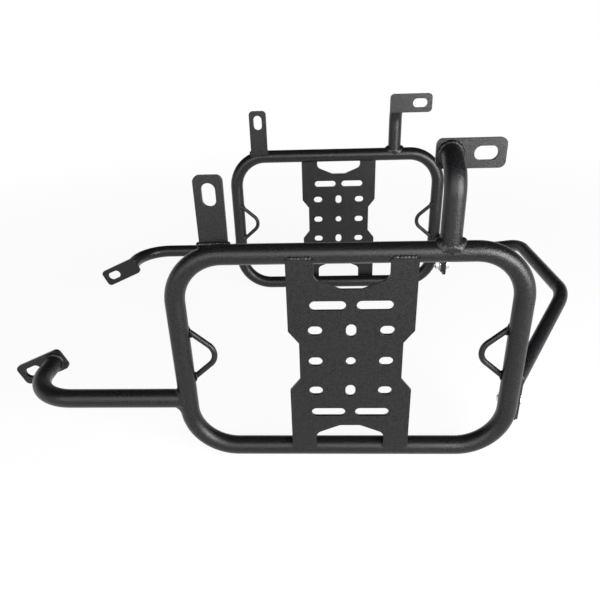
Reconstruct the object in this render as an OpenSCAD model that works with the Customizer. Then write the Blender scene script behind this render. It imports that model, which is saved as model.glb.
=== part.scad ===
// Motorcycle pannier frame: two mirrored side hoops of bent steel tube, each with a slotted
// carrier plate for a case, mounting brackets and lashing rings. One bent tube joins them at
// the rear. X points to the rear of the bike, Y to its right-hand side and Z up. The hoops
// stand on Z = 0, and the origin is the middle of the footprint.

/* [Hoops] */
// Outside diameter of the hoop, arm and strut tubes
tube_d = 20; // [16:0.5:25]
// Wall of the hoop, arm and strut tubes
tube_wall = 2; // [1:0.25:3]
// Length of a hoop between its upright tube axes
hoop_l = 336; // [320:1:400]
// Height of a hoop between its level tube axes
hoop_h = 226; // [210:1:260]
// Bend radius of the hoops and arms at the tube axis
bend_r = 50; // [40:1:60]
// Distance between the axis planes of the two hoops
hoop_gap = 442; // [420:1:520]

/* [Carrier plates] */
// Thickness of a carrier plate
plate_t = 3; // [2:0.5:4]
// Width of a carrier plate at its ends
plate_w = 123; // [116:1:150]
// Width of a carrier plate at its waist
waist_w = 102; // [100:1:114]
// Height of the straight part of the waist
waist_h = 42; // [36:1:60]
// Height of the taper above and below the waist
taper_h = 13.5; // [8:0.5:20]
// Distance of the carrier plate behind the middle of its hoop
plate_shift = 3.5; // [-10:0.5:10]
// Height of the carrier plate's middle above the middle of its hoop
plate_rise = 1.5; // [-2:0.5:2]
// How far the plate stands out past the tubes that it is welded to
plate_proud = 1; // [0.5:0.25:1.5]
// How far the plate's ends stop short of the tube axes
plate_end_gap = 4; // [2:0.5:6]
// Width of the notch floor at each end of a plate
notch_floor_w = 21; // [10:1:40]
// Width of the notch mouth at each end of a plate
notch_w = 71; // [60:1:80]
// Height of the sloping sides of a notch
notch_rise = 10.5; // [6:0.5:16]
// Material left between the long slots and the notch floor
notch_land = 12; // [6:0.5:16]
// Radius of the corners inside a notch
notch_r = 8; // [2:0.5:10]

/* [Plate holes] */
// Pitch of the hole grid, both ways
grid_pitch = 35; // [34:0.5:38]
// Width of every slot in a carrier plate, and its centre hole
grid_slot_w = 10; // [6:0.5:11]
// Length of the short grid slots
grid_slot_l = 14; // [12:0.5:18]
// Length of the four long slots
long_slot_l = 35; // [30:0.5:40]
// Distance between the two long slots of a row
long_slot_span = 45; // [43:0.5:50]
// Height of a long slot row above the plate's middle
long_slot_h = 62; // [58:0.5:66]

/* [Slotted flanges] */
// Length of a mounting flange
flange_l = 63; // [58:1:80]
// Width of a mounting flange
flange_w = 27; // [24:0.5:34]
// Thickness of a mounting flange
flange_t = 4; // [3:0.5:6]
// Corner radius of a mounting flange
flange_corner = 6; // [3:0.5:8]
// Length of a flange slot
flange_slot_l = 22; // [16:0.5:26]
// Width of a flange slot
flange_slot_w = 13; // [9:0.5:14]
// Material left at the end of a flange past its slot
flange_land = 7; // [5:0.5:9]
// Distance from a tube's axis to the end of the flange it is welded to
flange_root = 13; // [11:0.5:16]

/* [Front tabs] */
// Distance of a front tab behind the front upright tube
tab_back = 42.5; // [40:0.5:70]
// How far a front tab laps down the inner side of the tube
tab_lap = 6; // [4:0.5:8]

/* [Rear struts] */
// Distance of a rear strut ahead of the rear upright tube
strut_front = 74.5; // [60:0.5:100]
// Height of a strut's upper end above the hoop's upper tube axis
strut_h = 82; // [60:1:120]
// Distance of a strut's flange inwards from its hoop
strut_reach = 31; // [31:1:60]
// Bend radius of a strut at its tube axis
strut_bend_r = 30; // [20:1:30]

/* [Front arms] */
// Height of a front arm above the hoop's lower tube axis
arm_h = 63; // [60:1:150]
// Distance of an arm's inward leg ahead of the hoop's front tube
arm_l = 178; // [120:1:240]
// Distance of an arm's flange inwards from its hoop
arm_reach = 73; // [60:1:120]
// Slope of an arm's flange, slotted end down
arm_flange_angle = 24; // [0:1:60]

/* [Lashing rings] */
// Diameter of the lashing ring rod
ring_d = 6; // [4:0.5:8]
// How far a ring stands off its upright tube
ring_depth = 25; // [22:0.5:32]
// Height of a ring's opening at the tube
ring_h = 58; // [54:1:70]
// Bend radius of a ring's nose at the rod axis
ring_nose_r = 15; // [12:0.5:16]
// Height of the rings above the hoop's lower tube axis
ring_z = 114; // [100:1:140]
// Offset of a ring inwards from its hoop
ring_inset = 5; // [2:0.5:6]

/* [Rear brace] */
// Outside diameter of the rear brace tube
brace_d = 16; // [12:0.5:19]
// Wall of the rear brace tube
brace_wall = 1.5; // [1:0.25:2]
// Width of the brace between its two bends
brace_w = 168; // [130:1:220]
// Distance of the brace's rear run behind its flanges
brace_back = 82; // [70:1:120]
// Rise of the brace's rear run above its feet
brace_rise = 52; // [30:1:70]
// Height of the brace's feet above the hoop's lower tube axis
brace_foot_h = 65; // [60:1:90]
// Distance of the brace flanges inwards from the hoops
brace_inset = 28; // [25:0.5:40]
// Bend radius of the brace at its tube axis
brace_bend_r = 50; // [30:1:55]
// Distance from a brace foot to the upper end of its flange
brace_flange_root = 24; // [22:0.5:26]

/* [Brace lugs and bolts] */
// Thickness of a hoop's brace lug
lug_t = 4; // [3:0.5:6]
// Height of a brace lug
lug_h = 58; // [50:1:70]
// How far a brace lug is let into its upright tube
lug_bite = 1; // [0.5:0.25:2]
// Corner radius of a brace lug
lug_corner = 6; // [3:0.5:10]
// Distance of the brace bolt below the middle of the flange slot
bolt_drop = 2.5; // [0:0.25:4]
// Thread diameter of the brace bolts
bolt_d = 8; // [6:0.5:10]
// Width across the flats of the bolt heads and nuts
bolt_flats = 13; // [11:0.5:16]
// Height of a bolt's head
head_h = 5.3; // [3.5:0.1:6]
// Height of a nut
nut_h = 6.5; // [5:0.1:8]
// Length of a brace bolt under its head
bolt_l = 20; // [20:1:30]
// Clearance of the bolt in the lug and washers, on the diameter
bolt_clearance = 0.5; // [0.3:0.1:1]
// Clearance that stands for the thread in the nut, on the diameter
thread_clearance = 0.1; // [0.05:0.05:0.2]
// Diameter of a washer
washer_d = 20; // [18:0.5:24]
// Thickness of a washer
washer_t = 1.6; // [1:0.1:2.5]

/* [Hidden] */
$fn = 64;

black = [0.13, 0.13, 0.14];
zinc = [0.76, 0.77, 0.79];

// How much a bend other than a right angle thickens its rod, on the diameter
bend_swell = 0.1;
// How far the circle that rounds a corner runs past the corner's sides
tangent_lap = 0.001;

// Heights of the level tube axes
low_z = tube_d / 2;
high_z = low_z + hoop_h;
mid_z = low_z + hoop_h / 2;

// Hole centres of the carrier plate and the notch at each of its ends
plate_h = hoop_h - 2 * plate_end_gap;
notch_z = long_slot_h + grid_slot_w / 2 + notch_land;

// A flange's slot, measured from the root end of the flange
flange_slot_x = flange_l - flange_land - flange_slot_l / 2;

// Rear brace: the faces of lug and flange, and the bolt
lug_x = hoop_l / 2 + tube_d / 2 - lug_bite;
brace_x = lug_x + lug_t;
brace_foot_x = brace_x + flange_t;
brace_y = hoop_gap / 2 - brace_inset;
brace_foot_z = low_z + brace_foot_h;
brace_flange_top = brace_foot_z + brace_flange_root;
bolt_z = brace_flange_top - flange_slot_x - bolt_drop;

// The footprint's middle along X, from the flange corners in front to the brace behind
corner_in = [flange_l - flange_root - flange_corner, flange_w / 2 - flange_corner];
arm_front = hoop_l / 2 + arm_l + corner_in[0] * cos(arm_flange_angle)
    + corner_in[1] * sin(arm_flange_angle) + flange_corner;
brace_rear = brace_foot_x + brace_back + brace_d / 2;
x_shift = (arm_front - brace_rear) / 2;

// One elbow about the origin: it starts at [0, -r] along +X and turns left by turn, or right
// when turn is negative
module elbow(turn, r, d) {
    rotate(turn > 0 ? -90 : 90 + turn)
        rotate_extrude(angle = abs(turn))
            translate([r, 0])
                circle(d = d);
}

// A rod bent in the XY plane by a bend table: it starts at the origin along +X, and after
// each straight run comes the turn of the same number, at radius r. An elbow that isn't a
// right angle is fuller by bend_swell, and the runs on both sides of it reach lap into it
module bent_rod(runs, turns, r, d, i = 0, lap = 0) {
    swell = i < len(turns) && abs(turns[i]) != 90 ? bend_swell : 0;
    next_lap = sqrt(r * swell) / 2;
    translate([-lap, 0, 0])
        rotate([0, 90, 0])
            cylinder(d = d, h = lap + runs[i] + next_lap);
    if (i < len(turns))
        translate([runs[i], sign(turns[i]) * r, 0]) {
            elbow(turns[i], r, d + swell);
            rotate(turns[i])
                translate([0, -sign(turns[i]) * r, 0])
                    bent_rod(runs, turns, r, d, i + 1, next_lap);
        }
}

// Places a piece drawn in XY in the plane of the left hoop, with the hoop's middle at the origin
module in_hoop_plane() {
    translate([x_shift, -hoop_gap / 2, mid_z])
        rotate([90, 0, 0])
            children();
}

// Places a piece that is measured along X from the middle of the hoops
module in_frame() {
    translate([x_shift, 0, 0])
        children();
}

// Draws the piece of the left side, and the same piece mirrored for the right side
module right_side() {
    mirror([0, 1, 0])
        children();
}

// A hoop's rod, closed in the middle of its lower side
module hoop_rod(d) {
    half = hoop_l / 2 - bend_r;
    upright = hoop_h - 2 * bend_r;
    in_hoop_plane()
        translate([0, -hoop_h / 2, 0])
            bent_rod([half, upright, 2 * half, upright, half], [90, 90, 90, 90], bend_r, d);
}

// The outside of the left hoop, to which its brackets are fitted
module hoop_body() {
    hoop_rod(tube_d);
}

module hoop() {
    color(black)
        difference() {
            hoop_rod(tube_d);
            hoop_rod(tube_d - 2 * tube_wall);
        }
}

// A slot along X with round ends, centred on the origin
module slot(l, w) {
    square([l - w, w], center = true);
    for (side = [-1, 1])
        translate([side * (l - w) / 2, 0])
            circle(d = w);
}

// A rectangle with round corners, its lower left corner at the origin
module round_rect(l, w, r) {
    translate([r, 0])
        square([l - 2 * r, w]);
    translate([0, r])
        square([l, w - 2 * r]);
    for (x = [r, l - r], y = [r, w - r])
        translate([x, y])
            circle(r = r);
}

// What rounding takes off an outline's corner at p, whose two sides run along u and v
module corner_cut(p, u, v, r) {
    half = acos(u * v) / 2;
    centre = p + (u + v) / norm(u + v) * r / sin(half);
    spokes = [for (end = [p + u * r / tan(half), p, p + v * r / tan(half)]) centre + 2 * (end - centre)];
    difference() {
        polygon(concat([centre], spokes));
        translate(centre)
            circle(r = r + tangent_lap);
    }
}

// The notch in the plate's upper end, with round corners
module notch() {
    mouth = [notch_w / 2, notch_z + notch_rise];
    foot = [notch_floor_w / 2, notch_z];
    slope = (mouth - foot) / norm(mouth - foot);
    difference() {
        polygon([[-mouth[0], plate_h], [-mouth[0], mouth[1]], [-foot[0], notch_z], foot, mouth,
            [mouth[0], plate_h]]);
        for (side = [0, 1])
            mirror([side, 0]) {
                corner_cut(foot, [-1, 0], slope, notch_r);
                corner_cut(mouth, -slope, [0, 1], notch_r);
            }
    }
}

// The waisted plate with a notch at each end
module plate_outline() {
    flare = waist_h / 2 + taper_h;
    difference() {
        square([plate_w, plate_h], center = true);
        for (side = [0, 1])
            mirror([side, 0])
                polygon([[waist_w / 2, -waist_h / 2], [waist_w / 2, waist_h / 2], [plate_w / 2, flare],
                    [plate_w, flare], [plate_w, -flare], [plate_w / 2, -flare]]);
        for (end = [0, 1])
            mirror([0, end])
                notch();
    }
}

module plate_holes() {
    circle(d = grid_slot_w);
    for (side = [-1, 1]) {
        for (row = [-1:1])
            translate([side * grid_pitch, row * grid_pitch])
                slot(grid_slot_l, grid_slot_w);
        translate([0, side * grid_pitch])
            rotate(90)
                slot(grid_slot_l, grid_slot_w);
        for (end = [-1, 1])
            translate([side * long_slot_span / 2, end * long_slot_h])
                slot(long_slot_l, grid_slot_w);
    }
}

module carrier_plate() {
    color(black)
        difference() {
            in_hoop_plane()
                translate([plate_shift, plate_rise, tube_d / 2 + plate_proud - plate_t])
                    linear_extrude(plate_t)
                        difference() {
                            plate_outline();
                            plate_holes();
                        }
            hoop_body();
        }
}

// A slotted mounting flange in XY: the tube's axis meets it at the origin, the slot lies
// along +X, and the plate is flange_t thick along +Z
module slotted_flange(root) {
    linear_extrude(flange_t)
        translate([-root, -flange_w / 2])
            difference() {
                round_rect(flange_l, flange_w, flange_corner);
                translate([flange_slot_x, flange_w / 2])
                    slot(flange_slot_l, flange_slot_w);
            }
}

// The front tab stands flush with the inner side of the tube and is coped over it
module front_tab() {
    length = flange_l + tab_lap;
    color(black)
        difference() {
            in_hoop_plane()
                translate([tab_back - hoop_l / 2, hoop_h / 2 + tube_d / 2 - tab_lap, -tube_d / 2])
                    linear_extrude(flange_t)
                        difference() {
                            translate([-flange_w / 2, 0])
                                tab_outline(length);
                            translate([0, length - flange_land - flange_slot_l / 2])
                                rotate(90)
                                    slot(flange_slot_l, flange_slot_w);
                        }
            hoop_body();
        }
}

// The tab's outline: square at the weld, round at the free end
module tab_outline(length) {
    round_rect(flange_w, length, flange_corner);
    square([flange_w, length / 2]);
}

// Places a piece drawn in XY in an upright plane across the bike, X towards the bike's middle
module in_cross_plane(x) {
    translate([x, -hoop_gap / 2, 0])
        rotate([90, 0, 90])
            children();
}

module strut_rod(d) {
    in_frame()
        in_cross_plane(hoop_l / 2 - strut_front)
            translate([0, high_z])
                rotate(90)
                    bent_rod([strut_h - strut_bend_r, strut_reach - strut_bend_r], [-90],
                        strut_bend_r, d);
}

module rear_strut() {
    color(black)
        difference() {
            strut_rod(tube_d);
            strut_rod(tube_d - 2 * tube_wall);
            hoop_body();
        }
}

module rear_strut_flange() {
    color(black)
        in_frame()
            translate([hoop_l / 2 - strut_front, strut_reach + flange_t - hoop_gap / 2,
                high_z + strut_h])
                rotate([90, 0, 0])
                    slotted_flange(flange_root);
}

module arm_rod(d) {
    in_frame()
        translate([-hoop_l / 2, -hoop_gap / 2, low_z + arm_h])
            rotate(180)
                bent_rod([arm_l - bend_r, arm_reach - bend_r], [-90], bend_r, d);
}

module front_arm() {
    color(black)
        difference() {
            arm_rod(tube_d);
            arm_rod(tube_d - 2 * tube_wall);
            hoop_body();
        }
}

module front_arm_flange() {
    color(black)
        in_frame()
            translate([-hoop_l / 2 - arm_l, arm_reach + flange_t - hoop_gap / 2, low_z + arm_h])
                rotate([90, 180 - arm_flange_angle, 0])
                    slotted_flange(flange_root);
}

// A lashing ring: a rod bent to a round nose, its ends coped to the upright tube
// toward is 1 for the front ring, whose nose points rearwards, and -1 for the rear ring
module lashing_ring(toward) {
    // From the tube's side: the height of a leg's axis, and the depth of the nose's axis
    half = (ring_h - ring_d) / 2;
    depth = ring_depth - ring_d / 2;
    // The leg is the tangent from there to the nose, and starts at the tube's axis
    reach = norm([half, depth - ring_nose_r]);
    lean = atan2(half, depth - ring_nose_r) - asin(ring_nose_r / reach);
    root = tube_d / 2 / cos(lean);
    leg = root + sqrt(reach * reach - ring_nose_r * ring_nose_r);
    color(black)
        difference() {
            in_hoop_plane()
                translate([-toward * hoop_l / 2, low_z + ring_z - mid_z, -ring_inset])
                    rotate(toward < 0 ? 180 : 0)
                        translate([0, half + tube_d / 2 * tan(lean)])
                            rotate(-lean)
                                bent_rod([leg, leg], [2 * lean - 180], ring_nose_r, ring_d);
            hoop_body();
        }
}

// A brace lug stands on the rear face of the upright tube and carries the bolt
module brace_lug() {
    width = brace_inset + flange_w / 2;
    color(black)
        difference() {
            in_frame()
                in_cross_plane(lug_x)
                    linear_extrude(lug_t)
                        difference() {
                            translate([0, brace_flange_top - lug_h])
                                round_rect(width, lug_h, lug_corner);
                            translate([brace_inset, bolt_z])
                                circle(d = bolt_d + bolt_clearance);
                        }
            hoop_body();
        }
}

module brace_flange() {
    color(black)
        in_frame()
            translate([brace_x, -brace_y, brace_foot_z])
                rotate([0, 90, 0])
                    slotted_flange(brace_flange_root);
}

// The brace lies in one plane that rises to the rear, and its feet are cut to the flanges
module brace_rod(d) {
    slope = atan2(brace_rise, brace_back);
    back = norm([brace_rise, brace_back]);
    side = brace_y - brace_w / 2;
    lean = atan2(side, back);
    turn = 90 - lean;
    trim = brace_bend_r * tan(turn / 2);
    toe = 2 * brace_d;
    leg = toe + norm([back, side]) - trim;
    in_frame()
        difference() {
            translate([brace_foot_x, 0, brace_foot_z])
                rotate([0, -slope, 0])
                    translate([-toe * cos(lean), -brace_y - toe * sin(lean), 0])
                        rotate(lean)
                            bent_rod([leg, brace_w - 2 * trim, leg], [turn, turn], brace_bend_r, d);
            translate([brace_foot_x - 2 * toe, -brace_y - 2 * toe, 0])
                cube([2 * toe, 2 * brace_y + 4 * toe, high_z]);
        }
}

module rear_brace_tube() {
    color(black)
        difference() {
            brace_rod(brace_d);
            brace_rod(brace_d - 2 * brace_wall);
        }
}

// Places a fastener along +X on the bolt's axis, from the plane x
module on_bolt(x) {
    in_frame()
        translate([x, -brace_y, bolt_z])
            rotate([0, 90, 0])
                children();
}

module hexagon(across_flats) {
    circle(d = across_flats / cos(30), $fn = 6);
}

module brace_bolt() {
    color(zinc) {
        on_bolt(brace_foot_x + washer_t)
            linear_extrude(head_h)
                hexagon(bolt_flats);
        on_bolt(brace_foot_x + washer_t - bolt_l)
            cylinder(d = bolt_d, h = bolt_l);
    }
}

module brace_nut() {
    color(zinc)
        on_bolt(lug_x - washer_t - nut_h)
            linear_extrude(nut_h)
                difference() {
                    hexagon(bolt_flats);
                    circle(d = bolt_d + thread_clearance);
                }
}

module washer() {
    linear_extrude(washer_t)
        difference() {
            circle(d = washer_d);
            circle(d = bolt_d + bolt_clearance);
        }
}

module brace_washers() {
    color(zinc) {
        on_bolt(brace_foot_x)
            washer();
        on_bolt(lug_x - washer_t)
            washer();
    }
}

hoop();  // left_hoop
carrier_plate();  // left_carrier_plate
front_tab();  // left_front_tab
rear_strut();  // left_rear_strut
rear_strut_flange();  // left_rear_strut_flange
front_arm();  // left_front_arm
front_arm_flange();  // left_front_arm_flange
lashing_ring(1);  // left_front_lashing_ring
lashing_ring(-1);  // left_rear_lashing_ring
brace_lug();  // left_brace_lug
brace_flange();  // left_brace_flange
brace_bolt();  // left_brace_bolt
brace_nut();  // left_brace_nut
brace_washers();  // left_brace_washers
right_side() hoop();  // right_hoop
right_side() carrier_plate();  // right_carrier_plate
right_side() front_tab();  // right_front_tab
right_side() rear_strut();  // right_rear_strut
right_side() rear_strut_flange();  // right_rear_strut_flange
right_side() front_arm();  // right_front_arm
right_side() front_arm_flange();  // right_front_arm_flange
right_side() lashing_ring(1);  // right_front_lashing_ring
right_side() lashing_ring(-1);  // right_rear_lashing_ring
right_side() brace_lug();  // right_brace_lug
right_side() brace_flange();  // right_brace_flange
right_side() brace_bolt();  // right_brace_bolt
right_side() brace_nut();  // right_brace_nut
right_side() brace_washers();  // right_brace_washers
rear_brace_tube();
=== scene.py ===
import math

import bmesh
import bpy
from mathutils import Matrix, Vector, noise as perlin


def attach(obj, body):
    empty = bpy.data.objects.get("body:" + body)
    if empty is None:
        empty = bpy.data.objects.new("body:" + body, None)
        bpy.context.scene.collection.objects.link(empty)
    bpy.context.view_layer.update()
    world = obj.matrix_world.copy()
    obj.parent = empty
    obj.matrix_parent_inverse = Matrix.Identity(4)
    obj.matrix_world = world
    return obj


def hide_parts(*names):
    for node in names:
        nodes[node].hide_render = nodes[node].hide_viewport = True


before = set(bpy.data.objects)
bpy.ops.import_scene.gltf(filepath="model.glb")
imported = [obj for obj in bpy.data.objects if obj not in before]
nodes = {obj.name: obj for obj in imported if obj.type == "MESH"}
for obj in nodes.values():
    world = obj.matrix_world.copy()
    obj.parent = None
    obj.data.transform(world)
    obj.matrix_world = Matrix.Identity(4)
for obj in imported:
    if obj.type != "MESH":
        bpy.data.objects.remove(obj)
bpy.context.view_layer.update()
scene = bpy.context.scene


# ---- camera: the photograph's own viewpoint, fitted to the hole grid of the plates ----

PHOTO_PX = 600
FOCAL_PX = 555.974
SENSOR_MM = 36
EYE = Vector((0.03872, -0.70365, 0.42315))
YAW, PITCH, ROLL = 0.0501, 0.4530, 0.0330


def make_camera():
    turn = (Matrix.Rotation(YAW, 3, "Z") @ Matrix.Rotation(-PITCH, 3, "X")
            @ Matrix.Rotation(ROLL, 3, "Y"))
    right, forward, up = turn.col
    data = bpy.data.cameras.new("camera")
    data.sensor_fit = "HORIZONTAL"
    data.sensor_width = SENSOR_MM
    data.lens = FOCAL_PX * SENSOR_MM / PHOTO_PX
    data.clip_start, data.clip_end = 0.01, 30
    camera = bpy.data.objects.new("camera", data)
    axes = Matrix((right, up, -forward)).transposed().to_4x4()
    camera.matrix_world = Matrix.Translation(EYE) @ axes
    scene.collection.objects.link(camera)
    scene.camera = camera


make_camera()


# ---- materials ----

# The coat: its two blacks, its roughness, and the scale (per metre) and height of its grain
COAT_IOR = 1.385
COAT_BLACKS = (0.0008, 0.0008, 0.0010), (0.0095, 0.0095, 0.0108)
COAT_ROUGHNESS = 0.26, 0.34
GRAIN_ROUGHNESS = -0.04, 0.05
GRAIN_SCALE, WAVE_SCALE, BROAD_SCALE = 860, 260, 26
GRAIN_HEIGHT = 0.00027
COAT_WAVES, WELD_WAVES = 0.00006, 0.0005
WAVE_STRENGTH = 0.5
EDGE_ROUNDING, EDGE_SAMPLES = 0.0006, 4

# The zinc: two greys, roughness, and the scale of its clouds and of its fine grain
ZINC_GREYS = (0.50, 0.51, 0.53), (0.68, 0.68, 0.69)
ZINC_ROUGHNESS = 0.22, 0.36
CLOUD_SCALE, ZINC_GRAIN_SCALE = 220, 1500
ZINC_GRAIN_STRENGTH, ZINC_GRAIN_HEIGHT = 0.12, 0.0001


def new_material(name):
    material = bpy.data.materials.new(name)
    material.use_nodes = True
    tree = material.node_tree
    return material, tree, tree.nodes["Principled BSDF"]


def noise(tree, scale, detail=2.0, rough=0.5):
    coords = tree.nodes.new("ShaderNodeTexCoord")
    node = tree.nodes.new("ShaderNodeTexNoise")
    node.inputs["Scale"].default_value = scale
    node.inputs["Detail"].default_value = detail
    node.inputs["Roughness"].default_value = rough
    tree.links.new(coords.outputs["Object"], node.inputs["Vector"])
    return node.outputs["Fac"]


def spread(tree, source, low, high, start=0.3, end=0.7):
    """Maps source from start..end to low..high."""
    node = tree.nodes.new("ShaderNodeMapRange")
    node.inputs["From Min"].default_value = start
    node.inputs["From Max"].default_value = end
    node.inputs["To Min"].default_value = low
    node.inputs["To Max"].default_value = high
    tree.links.new(source, node.inputs["Value"])
    return node.outputs["Result"]


def two_tone(tree, factor, low, high):
    mix = tree.nodes.new("ShaderNodeMix")
    mix.data_type = "RGBA"
    mix.inputs["A"].default_value = (*low, 1)
    mix.inputs["B"].default_value = (*high, 1)
    tree.links.new(factor, mix.inputs["Factor"])
    return mix.outputs["Result"]


def bump(tree, source, strength, distance, below=None):
    node = tree.nodes.new("ShaderNodeBump")
    node.inputs["Strength"].default_value = strength
    node.inputs["Distance"].default_value = distance
    tree.links.new(source, node.inputs["Height"])
    if below:
        tree.links.new(below, node.inputs["Normal"])
    return node.outputs["Normal"]


def calculate(tree, operation, first, second):
    node = tree.nodes.new("ShaderNodeMath")
    node.operation = operation
    tree.links.new(first, node.inputs[0])
    tree.links.new(second, node.inputs[1])
    return node.outputs["Value"]


def powder_coat(name, waves):
    """Black powder coat with a fine wrinkled grain, on waves of the given height."""
    material, tree, shader = new_material(name)
    shader.inputs["IOR"].default_value = COAT_IOR
    grain = noise(tree, GRAIN_SCALE, detail=3.0, rough=0.6)
    broad = noise(tree, BROAD_SCALE, detail=3.0)
    black = two_tone(tree, spread(tree, grain, 0, 1, start=0.35, end=0.65), *COAT_BLACKS)
    tree.links.new(black, shader.inputs["Base Color"])
    roughness = calculate(tree, "ADD", spread(tree, broad, *COAT_ROUGHNESS),
                          spread(tree, grain, *GRAIN_ROUGHNESS))
    tree.links.new(roughness, shader.inputs["Roughness"])
    edge = tree.nodes.new("ShaderNodeBevel")
    edge.samples = EDGE_SAMPLES
    edge.inputs["Radius"].default_value = EDGE_ROUNDING
    wavy = bump(tree, noise(tree, WAVE_SCALE), WAVE_STRENGTH, waves, edge.outputs["Normal"])
    tree.links.new(bump(tree, grain, 1.0, GRAIN_HEIGHT, wavy), shader.inputs["Normal"])
    return material


def zinc_plate():
    material, tree, shader = new_material("bright_zinc_plate")
    shader.inputs["Metallic"].default_value = 1
    cloud = noise(tree, CLOUD_SCALE, detail=3.0)
    grey = two_tone(tree, spread(tree, cloud, 0, 1), *ZINC_GREYS)
    tree.links.new(grey, shader.inputs["Base Color"])
    tree.links.new(spread(tree, cloud, *ZINC_ROUGHNESS), shader.inputs["Roughness"])
    grain = bump(tree, noise(tree, ZINC_GRAIN_SCALE), ZINC_GRAIN_STRENGTH, ZINC_GRAIN_HEIGHT)
    tree.links.new(grain, shader.inputs["Normal"])
    return material


coat = powder_coat("textured_black_coat", COAT_WAVES)
weld_coat = powder_coat("coated_weld", WELD_WAVES)
zinc = zinc_plate()
for name, piece in nodes.items():
    bright = name.endswith(("_bolt", "_nut", "_washers"))
    for slot in piece.material_slots:
        slot.material = zinc if bright else coat


# ---- the solids' own sizes, in metres; X and Z as in the frame, Y for the right side ----

R = 0.010                                       # hoop, strut and arm tubes
SHIFT = 0.0601233                               # middle of the hoops
FRONT, REAR = SHIFT - 0.168, SHIFT + 0.168      # upright tubes
LOW, MID, HIGH = 0.010, 0.123, 0.236            # level tubes, and half way between them
HALF_H = 0.113                                  # from MID to a level tube
HOOP_Y = 0.221
TAB_X = SHIFT - 0.1255
STRUT_X, STRUT_H, STRUT_REACH = SHIFT + 0.0935, 0.082, 0.031
ARM_X, ARM_Z, ARM_REACH = FRONT - 0.178, LOW + 0.063, 0.073
PLATE_X = SHIFT + 0.0035
PLATE_ENDS = (1, MID + 0.1105), (-1, MID - 0.1075)
PLATE_LEGS = (-0.0605, -0.0365), (0.0365, 0.0605)
RING_R, RING_Z = 0.003, LOW + 0.114
RING_HALF, RING_LEAN = 0.02717, 41.08           # from RING_Z to a foot, and its slope
RING_FOOT, RING_NORMAL = (0.00866, -0.005), (0.866, -0.5)   # 30 degrees round the tube
BRACE_R = 0.008
FOOT = Vector((REAR + 0.017, HOOP_Y - 0.028, LOW + 0.065))
BRACE_BACK, BRACE_RISE = 0.082, 0.052
BRACE_INWARD = 0.193 - 0.084                    # from its foot's Y to its rear corner's
FLANGE_ROOT = 0.024                             # from the brace's foot to its flange's top
LUG_FACE = REAR + 0.009
BOLT_BELOW = 0.0475                             # from the flange's top to the bolt
WASHER, FLATS = 0.0016, 0.013
THREAD, THREAD_PITCH, THREAD_DEPTH = 0.008, 0.00125, 0.0006
HEAD_H, BOLT_L, NUT_H = 0.0053, 0.020, 0.0065
THREAD_GAP = 0.00005                            # between the thread and the nut's bore


# ---- weld beads, on the lines where the solids meet ----

WELD_CREASE, METAL_CREASE = 1.2, 0.45           # from here on an edge is sharp, in radians
BEAD_STEP, BEAD_SIDES, BEAD_RIPPLE = 0.0009, 12, 0.0034
FILLET_POINTS, FILLET_RIPPLE = 7, 0.0032        # points from toe to toe
SADDLE_COUNT, SADDLE_LEAST = 110, 0.0050        # points round a coped joint
ROOT, SINK = 0.85, 0.0010                       # how far a fillet's root lies in the metal
FOOT_ROOT = 0.12                                # the same round a flat foot, of the radius
END_SIZE, END_STEPS = 0.35, 2.5                 # an open bead's taper at its ends
# Unevenness: shares of a bead's radius, a fillet's bulge or its toes' reach, a depth in
# metres for the pits, and the scales of their noise, per metre
BEAD_SWELL, BEAD_WANDER, BEAD_LUMPS = 0.12, 0.34, 0.10
BEAD_WANDER_SCALE, BEAD_LUMP_SCALE = 260, 900
FILLET_SWELL, BULGE_WANDER, TUBE_TOE_WANDER, FLAT_TOE_WANDER = 0.22, 0.5, 0.10, 0.12
FLAT_TOE_SCALE, TUBE_TOE_SCALE = 300, 500
TUBE_TOE_PLACE = Vector((3, 0, 0))              # sets this noise apart from the other toe's
PIT_DEPTH, PIT_SCALE = 0.00022, 1400


def turns(count):
    return [2 * math.pi * k / count for k in range(count)]


def clamp(value, limit):
    return max(-limit, min(limit, value))


def smooth_object(name, verts, faces, material, slot, crease):
    """A piece from points and faces, shaded smooth up to the angle crease."""
    mesh = bpy.data.meshes.new(name)
    mesh.from_pydata(verts, [], faces)
    work = bmesh.new()
    work.from_mesh(mesh)
    bmesh.ops.remove_doubles(work, verts=work.verts, dist=1e-7)
    bmesh.ops.recalc_face_normals(work, faces=work.faces)
    for face in work.faces:
        face.smooth = True
    for edge in work.edges:
        edge.smooth = edge.calc_face_angle(0) < crease
    work.to_mesh(mesh)
    work.free()
    piece = bpy.data.objects.new(name, mesh)
    scene.collection.objects.link(piece)
    mesh.materials.append(material)
    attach(piece, "root")
    return piece


def resample(points, closed):
    """Points at an even step along a polyline: (place, radius, length so far)."""
    ring = points + points[:1] if closed else points
    lengths = [0.0]
    for a, b in zip(ring, ring[1:]):
        lengths.append(lengths[-1] + (b[0] - a[0]).length)
    count = max(6, round(lengths[-1] / BEAD_STEP))
    result, i = [], 0
    for k in range(count if closed else count + 1):
        at = lengths[-1] * k / count
        while i < len(ring) - 2 and lengths[i + 1] < at:
            i += 1
        f = (at - lengths[i]) / max(lengths[i + 1] - lengths[i], 1e-9)
        (p, r), (q, t) = ring[i], ring[i + 1]
        result.append((p.lerp(q, f), r + (t - r) * f, at))
    return result


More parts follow.
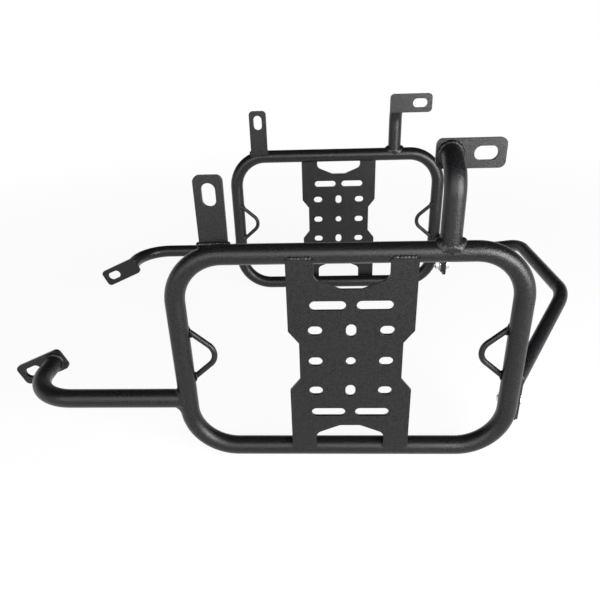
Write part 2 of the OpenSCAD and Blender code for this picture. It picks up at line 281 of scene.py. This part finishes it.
def add_bead(verts, faces, points, closed):
    """Adds one uneven bead of weld: points is a list of (place, radius)."""
    path = resample(points, closed)
    n, base, around = len(path), len(verts), BEAD_SIDES
    for k, (p, r, at) in enumerate(path):
        before = path[k - 1][0] if closed or k else p
        after = path[(k + 1) % n][0] if closed or k < n - 1 else p
        along = (after - before).normalized()
        nearly_upright = abs(along.z) > 0.9
        side = along.orthogonal() if nearly_upright else along.cross(Vector((0, 0, 1)))
        side.normalize()
        up = along.cross(side)
        steps = min(k, n - 1 - k) / END_STEPS
        taper = 1.0 if closed else min(1.0, END_SIZE + (1 - END_SIZE) * steps)
        ripple = BEAD_SWELL * math.sin(2 * math.pi * at / BEAD_RIPPLE)
        wave = 1 + ripple + BEAD_WANDER * perlin.noise(p * BEAD_WANDER_SCALE)
        for a in turns(around):
            out = side * math.cos(a) + up * math.sin(a)
            lump = 1 + BEAD_LUMPS * perlin.noise((p + out * r) * BEAD_LUMP_SCALE)
            verts.append(p + out * r * wave * lump * taper)
    for k in range(n if closed else n - 1):
        a, b = base + k * around, base + (k + 1) % n * around
        for j in range(around):
            i = (j + 1) % around
            faces.append((a + j, a + i, b + i, b + j))
    if not closed:
        faces.append(tuple(base + j for j in reversed(range(around))))
        faces.append(tuple(base + (n - 1) * around + j for j in range(around)))


def beads(name, s, runs, closed=False):
    """Round beads along the runs, each a list of (place, radius), on the side s."""
    verts, faces = [], []
    for run in runs:
        points = [(Vector((p.x, p.y * s, p.z)), r) for p, r in run]
        add_bead(verts, faces, points, closed)
    smooth_object(name, verts, faces, weld_coat, "black_coat", WELD_CREASE)


def fillets(name, s, rings):
    """Welds round the feet of tubes: each ring is a list of (toe on the tube, toe on the
    other piece, root inside the metal, bulge)."""
    verts, faces = [], []
    for ring in rings:
        base, n, at = len(verts), len(ring), 0.0
        for k, (a, b, root, bulge) in enumerate(ring):
            at += (b - ring[k - 1][1]).length
            wander = perlin.noise(b * FLAT_TOE_SCALE)
            swell = (1 + FILLET_SWELL * math.sin(2 * math.pi * at / FILLET_RIPPLE)
                     + BULGE_WANDER * wander)
            stray = perlin.noise(a * TUBE_TOE_SCALE + TUBE_TOE_PLACE)
            a = root + (a - root) * (1 + TUBE_TOE_WANDER * stray)
            b = root + (b - root) * (1 + FLAT_TOE_WANDER * wander)
            out = ((a + b) / 2 - root).normalized()
            for j in range(FILLET_POINTS):
                t = j / (FILLET_POINTS - 1)
                p = a.lerp(b, t) + out * bulge * 4 * t * (1 - t) * swell
                p += out * PIT_DEPTH * perlin.noise(p * PIT_SCALE)
                verts.append(Vector((p.x, p.y * s, p.z)))
            verts.append(Vector((root.x, root.y * s, root.z)))
        row = FILLET_POINTS + 1
        for k in range(n):
            a, b = base + k * row, base + (k + 1) % n * row
            for j in range(row):
                i = (j + 1) % row
                faces.append((a + j, a + i, b + i, b + j))
    smooth_object(name, verts, faces, weld_coat, "black_coat", WELD_CREASE)


def flat_foot(centre, axis, radius, normal, high, wide, bulge, count=96):
    """The weld round a tube that stands on a flat face; axis points along the tube."""
    axis = axis.normalized()
    u = axis.orthogonal().normalized()
    v = axis.cross(u)
    ring = []
    for a in turns(count):
        out = (u * math.cos(a) + v * math.sin(a)) * radius
        foot = centre + out - axis * (out.dot(normal) / axis.dot(normal))
        flat = (out - normal * out.dot(normal)).normalized()
        ring.append((foot + axis * high, foot + flat * wide, foot - out * FOOT_ROOT,
                     bulge))
    return ring


def strut_base():
    """The weld skirt where the strut stands on the hoop's upper tube."""
    toe_up, toe_out, wrap, bulge = 0.0036, 0.0046, 0.45, 0.0007
    furthest = math.radians(78)
    ring = []
    for a in turns(SADDLE_COUNT):
        c, s = math.cos(a), math.sin(a)
        high = max(R * abs(c), SADDLE_LEAST)
        bend = clamp(math.asin(s) + wrap * s, furthest)
        ring.append((Vector((STRUT_X + R * c, HOOP_Y + R * s, HIGH + high + toe_up)),
                     Vector((STRUT_X + (R + toe_out) * c, HOOP_Y + R * math.sin(bend),
                             HIGH + R * math.cos(bend))),
                     Vector((STRUT_X + R * c * ROOT, HOOP_Y + R * s * ROOT,
                             HIGH + high - SINK)),
                     bulge))
    return ring


def arm_base():
    """The weld where the arm leaves the hoop's front tube, fuller on the under side."""
    toe, fuller_toe, wide, fuller_wide = 0.0028, 0.0024, 0.0032, 0.0032
    bulge, flatter, furthest = 0.0005, 0.0012, math.radians(76)
    ring = []
    for a in turns(SADDLE_COUNT):
        c, s = math.cos(a), math.sin(a)
        deep = max(R * abs(s), SADDLE_LEAST)
        below = max(0.0, -s)
        out = wide + fuller_wide * below
        bend = clamp(math.asin(c) + out / R * c, furthest)
        ring.append((Vector((FRONT - deep - toe - fuller_toe * below, HOOP_Y + R * c,
                             ARM_Z + R * s)),
                     Vector((FRONT - R * math.cos(bend), HOOP_Y + R * math.sin(bend),
                             ARM_Z + (R + out) * s)),
                     Vector((FRONT - deep + SINK, HOOP_Y + R * c * ROOT,
                             ARM_Z + R * s * ROOT)),
                     bulge - flatter * below))
    return ring


def tab_base():
    """The bead round the tab's foot: corners as (x, y, height, radius)."""
    half, outer, inner = 0.0143, HOOP_Y - 0.0056, HOOP_Y - 0.0098
    corners = [(-half, outer, 0.0084, 0.0022), (half, outer, 0.0084, 0.0027),
               (half, inner, 0.0036, 0.0015), (-half, inner, 0.0036, 0.0015)]
    return [(Vector((TAB_X + x, y, HIGH + z)), r) for x, y, z, r in corners]


def plate_ends():
    """The beads on the tubes at the ends of the plate's four legs."""
    radius, sink, rise = 0.0027, 0.0008, 0.0008
    runs = []
    for end, z in PLATE_ENDS:
        depth = math.sqrt(R * R - (abs(z - MID) - HALF_H) ** 2)
        for leg in PLATE_LEGS:
            runs.append([(Vector((PLATE_X + x, HOOP_Y + depth - sink, z + end * rise)), radius)
                         for x in leg])
    return runs


def ring_ends(tube_x, toward):
    """The welds at both feet of a lashing ring."""
    lean = math.radians(RING_LEAN)
    (foot_x, foot_y), (normal_x, normal_y) = RING_FOOT, RING_NORMAL
    rings = []
    for up in (1, -1):
        centre = Vector((tube_x + toward * foot_x, HOOP_Y + foot_y, RING_Z + up * RING_HALF))
        axis = Vector((toward * math.cos(lean), 0, -up * math.sin(lean)))
        normal = Vector((toward * normal_x, normal_y, 0))
        rings.append(flat_foot(centre, axis, RING_R, normal, high=0.0022, wide=0.0020,
                               bulge=0.0004, count=40))
    return rings


def brace_foot():
    """The weld between the rear brace tube and its flange."""
    slope = math.atan2(BRACE_RISE, BRACE_BACK)
    lean = math.atan2(BRACE_INWARD, math.hypot(BRACE_RISE, BRACE_BACK))
    axis = Vector((math.cos(lean) * math.cos(slope), -math.sin(lean),
                   math.cos(lean) * math.sin(slope)))
    return flat_foot(FOOT, axis, BRACE_R, Vector((1, 0, 0)), high=0.0028, wide=0.0026,
                     bulge=0.0005)


def lug_edges():
    """The beads down both sides of the lug: each as x, y and the depths of its ends."""
    top, radius = FOOT.z + FLANGE_ROOT, 0.0015
    outer, inner = (0.0100, 0.0004, 0.003, 0.055), (0.0088, -0.0046, 0.001, 0.057)
    return [[(Vector((REAR + x, HOOP_Y + y, top - down)), radius) for down in ends]
            for x, y, *ends in (outer, inner)]


# ---- bolt and nut of the brace, with chamfers and a thread ----

BOLT_X, BOLT_Y, BOLT_Z = FOOT.x + WASHER, FOOT.y, FOOT.z + FLANGE_ROOT - BOLT_BELOW
RIM = 0.475 * FLATS                             # where the chamfer of a hexagon begins
CHAMFER = 0.5                                   # its slope


def hex_reach(a):
    """From a hexagon's axis to its side, at the angle a."""
    return FLATS / 2 / math.cos((a + math.pi / 6) % (math.pi / 3) - math.pi / 6)


# Each of these gives, for an angle, the radius of a loop and its shift along the bolt

def plain(r):
    return lambda a: (r, 0.0)


def hex_flat(a):
    return hex_reach(a), 0.0


def chamfered(sign):
    return lambda a: (hex_reach(a), sign * (hex_reach(a) - RIM) * CHAMFER)


def thread(at):
    def reach(a):
        phase = (at / THREAD_PITCH + a / (2 * math.pi)) % 1
        return THREAD / 2 - THREAD_DEPTH * abs(2 * phase - 1), 0.0
    return reach


def lathe(profile, s, count=72):
    """Turns loops of (x, reach) about the bolt's axis, on the side s."""
    verts, faces = [], []
    for x, reach in profile:
        for a in turns(count):
            r, shift = reach(a)
            verts.append(Vector((x + shift, s * (BOLT_Y + r * math.sin(a)),
                                 BOLT_Z + r * math.cos(a))))
    for k in range(len(profile) - 1):
        a, b = k * count, (k + 1) * count
        for j in range(count):
            i = (j + 1) % count
            faces.append((a + j, a + i, b + i, b + j))
    return verts, faces


def bolt_head():
    """The loops of the hexagon, from its seat to its dished top."""
    seat, top, dish = BOLT_X + 0.0004, BOLT_X + HEAD_H, BOLT_X + 0.0049
    dish_rim, dish_floor = 0.0046, 0.0042
    return [(BOLT_X, plain(0)), (BOLT_X, plain(RIM)), (seat, plain(RIM)), (seat, hex_flat),
            (top, chamfered(-1)), (top, plain(RIM)), (top, plain(dish_rim)),
            (dish, plain(dish_floor)), (dish, plain(0))]


def bolt_shank():
    """The loops of the shank, from its end, with the thread, to inside the head."""
    end, neck = BOLT_X - BOLT_L, BOLT_X + 0.0002
    tip, start, run_out = 0.0031, 0.0004, 0.0104
    length, steps = 0.0096, 60
    loops = [(end, plain(0)), (end, plain(tip))]
    for k in range(steps + 1):
        loops.append((end + start + length * k / steps, thread(length * k / steps)))
    return loops + [(end + run_out, plain(THREAD / 2)), (neck, plain(THREAD / 2)),
                    (neck, plain(0))]


def nut_loops():
    """The loops of the nut, round its bore and its six flats."""
    bore, flare = THREAD / 2 + THREAD_GAP, 0.0006
    low = LUG_FACE - WASHER - NUT_H
    high = low + NUT_H
    return [(low + flare, plain(bore)), (low, plain(bore + flare)), (low, plain(RIM)),
            (low, chamfered(1)), (high, chamfered(-1)), (high, plain(RIM)),
            (high, plain(bore)), (low + flare, plain(bore))]


def fasteners(side, s):
    """One side's dressed bolt and nut, in place of the plain ones."""
    verts, faces = lathe(bolt_head(), s)
    more, sides = lathe(bolt_shank(), s)
    faces += [tuple(i + len(verts) for i in face) for face in sides]
    bolt = smooth_object(f"{side}_dressed_bolt", verts + more, faces, zinc, "bright_zinc",
                         METAL_CREASE)
    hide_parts(f"{side}_brace_bolt")
    nut = smooth_object(f"{side}_dressed_nut", *lathe(nut_loops(), s), zinc, "bright_zinc",
                        METAL_CREASE)
    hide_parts(f"{side}_brace_nut")


def flange_weld(x, reach, z):
    """The weld round the end of a strut or an arm, on its flange's outer face."""
    across = Vector((0, 1, 0))
    return flat_foot(Vector((x, HOOP_Y - reach, z)), across, R, across, high=0.0026,
                     wide=0.0026, bulge=0.0006)


for side, s in (("left", -1), ("right", 1)):
    fillets(f"{side}_strut_base_weld", s, [strut_base()])
    fillets(f"{side}_strut_flange_weld", s, [flange_weld(STRUT_X, STRUT_REACH, HIGH + STRUT_H)])
    fillets(f"{side}_arm_base_weld", s, [arm_base()])
    fillets(f"{side}_arm_flange_weld", s, [flange_weld(ARM_X, ARM_REACH, ARM_Z)])
    fillets(f"{side}_ring_welds", s, ring_ends(FRONT, 1) + ring_ends(REAR, -1))
    fillets(f"{side}_brace_foot_weld", s, [brace_foot()])
    beads(f"{side}_tab_weld", s, [tab_base()], closed=True)
    beads(f"{side}_plate_welds", s, plate_ends())
    beads(f"{side}_lug_welds", s, lug_edges())
    fasteners(side, s)


# ---- floor, backdrop and light ----

WHITE = (1, 1, 1, 1)
FLOOR_WHITE, FLOOR_ROUGHNESS, FLOOR_SHINE, FLOOR_SIZE = (0.95, 0.95, 0.95, 1), 0.6, 0.2, 30
# The floor's share of plain white, near the part and far from it, and where it changes
WHITE_SHARE, WHITE_REACH = (0.90, 1.0), (0.45, 1.6)
AMBIENT = 0.30
# What the part reflects: white at the horizon, dark overhead, by the Z of the direction
SKY, SKY_HEIGHTS = (1.0, 0.03), (0.06, 0.30)


def seen_directly(tree):
    """1 for the rays that show the background: from the camera, by reflection or through."""
    path = tree.nodes.new("ShaderNodeLightPath").outputs
    either = calculate(tree, "MAXIMUM", path["Is Camera Ray"], path["Is Glossy Ray"])
    return calculate(tree, "MAXIMUM", either, path["Is Transmission Ray"])


def blend(tree, factor, first, second, output):
    mix = tree.nodes.new("ShaderNodeMixShader")
    tree.links.new(factor, mix.inputs["Fac"])
    tree.links.new(first, mix.inputs[1])
    tree.links.new(second, mix.inputs[2])
    tree.links.new(mix.outputs["Shader"], tree.nodes[output].inputs["Surface"])


def make_floor():
    material, tree, shader = new_material("white_floor")
    shader.inputs["Base Color"].default_value = FLOOR_WHITE
    shader.inputs["Roughness"].default_value = FLOOR_ROUGHNESS
    shader.inputs["Specular IOR Level"].default_value = FLOOR_SHINE
    coords = tree.nodes.new("ShaderNodeTexCoord")
    length = tree.nodes.new("ShaderNodeVectorMath")
    length.operation = "LENGTH"
    tree.links.new(coords.outputs["Object"], length.inputs[0])
    fade = spread(tree, length.outputs["Value"], *WHITE_SHARE, *WHITE_REACH)
    share = calculate(tree, "MULTIPLY", seen_directly(tree), fade)
    white = tree.nodes.new("ShaderNodeEmission")
    blend(tree, share, shader.outputs["BSDF"], white.outputs["Emission"], "Material Output")
    bpy.ops.mesh.primitive_plane_add(size=FLOOR_SIZE, location=(0, 0, 0))
    floor = bpy.context.object
    floor.name = "floor"
    floor.data.materials.append(material)


def make_world():
    """White behind the part, a sweep that darkens overhead in its coat, and a dim fill."""
    world = bpy.data.worlds.new("studio")
    scene.world = world
    world.use_nodes = True
    tree = world.node_tree
    ambient = tree.nodes["Background"]
    ambient.inputs["Color"].default_value = WHITE
    ambient.inputs["Strength"].default_value = AMBIENT
    coords = tree.nodes.new("ShaderNodeTexCoord")
    axes = tree.nodes.new("ShaderNodeSeparateXYZ")
    tree.links.new(coords.outputs["Generated"], axes.inputs["Vector"])
    path = tree.nodes.new("ShaderNodeLightPath")
    sky = spread(tree, axes.outputs["Z"], *SKY, *SKY_HEIGHTS)
    backdrop = tree.nodes.new("ShaderNodeBackground")
    backdrop.inputs["Color"].default_value = WHITE
    tree.links.new(calculate(tree, "MAXIMUM", path.outputs["Is Camera Ray"], sky),
                   backdrop.inputs["Strength"])
    blend(tree, seen_directly(tree), ambient.outputs["Background"],
          backdrop.outputs["Background"], "World Output")


def softbox(name, place, target, size, power):
    """An area lamp, aimed at target, that the camera doesn't see."""
    data = bpy.data.lights.new(name, "AREA")
    data.shape = "RECTANGLE"
    data.size, data.size_y = size
    data.energy = power
    lamp = bpy.data.objects.new(name, data)
    lamp.location = place
    lamp.rotation_mode = "QUATERNION"
    lamp.rotation_quaternion = (Vector(target) - Vector(place)).to_track_quat("-Z", "Y")
    lamp.visible_camera = False
    scene.collection.objects.link(lamp)


make_floor()
make_world()
softbox("strip_box", place=(0.0, -1.25, 0.62), target=(0, -0.1, 0.12), size=(2.6, 0.8),
        power=23)
softbox("key_box", place=(0.90, -0.98, 0.42), target=(0.1, -0.1, 0.25), size=(0.76, 0.66),
        power=25)

scene.view_settings.view_transform = "Standard"
